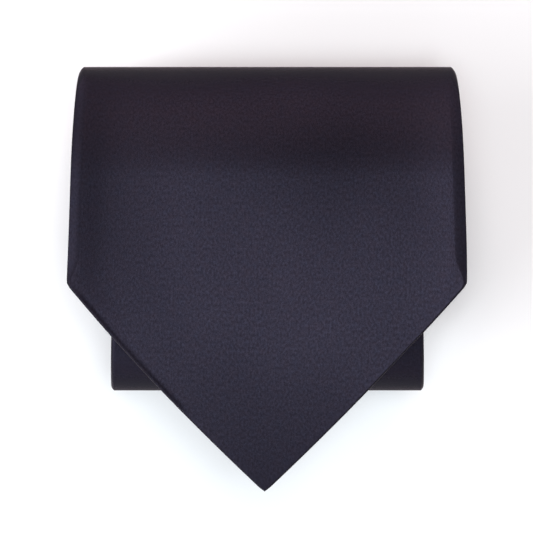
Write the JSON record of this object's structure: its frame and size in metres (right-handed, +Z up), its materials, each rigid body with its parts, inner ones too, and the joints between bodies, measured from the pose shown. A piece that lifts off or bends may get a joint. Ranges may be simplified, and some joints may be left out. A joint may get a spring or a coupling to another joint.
{
  "type": "necktie",
  "caption": "Dark navy satin necktie rolled up from its tail, lying on its side with the wide pointed blade on top of the roll.",
  "frame": {"origin": "middle of the whole length and width, on the plane that the roll rests on", "axes": "+X across the blade, +Y along the blade away from its point, +Z up out of the table"},
  "size_m": [0.085, 0.091, 0.05],
  "materials": {
    "satin_shell": "fine midnight navy satin with a soft sheen",
    "tipping_cloth": "thin smooth navy lining",
    "interlining": "brushed off-white wool canvas",
    "label_cloth": "woven ribbon, blank",
    "thread": "twisted sewing thread"
  },
  "bodies": {
    "roll": {"blade_shell_roll": "satin_shell", "neck_shell": "satin_shell", "tail_shell": "satin_shell", "interlining_roll": "interlining", "tail_tipping": "tipping_cloth", "keeper_loop": "satin_shell", "keeper_loop_tacks": "thread", "main_label": "label_cloth", "main_label_stitches": "thread", "care_label": "label_cloth", "tail_tipping_stitches": "thread", "blade_bar_tack": "thread", "tail_bar_tack": "thread", "slip_stitch": "thread", "blade_neck_seam": "thread", "neck_tail_seam": "thread"},
    "blade": {"blade_shell_front": "satin_shell", "interlining_front": "interlining", "blade_tipping": "tipping_cloth", "blade_tipping_stitches": "thread"}
  },
  "joints": [
    {"name": "blade_lift", "type": "hinge", "parent": "roll", "child": "blade", "pos_m": [0, 0.03894, 0.04339], "axis": [-1, 0, 0], "range_deg": [0, 90]}
  ]
}
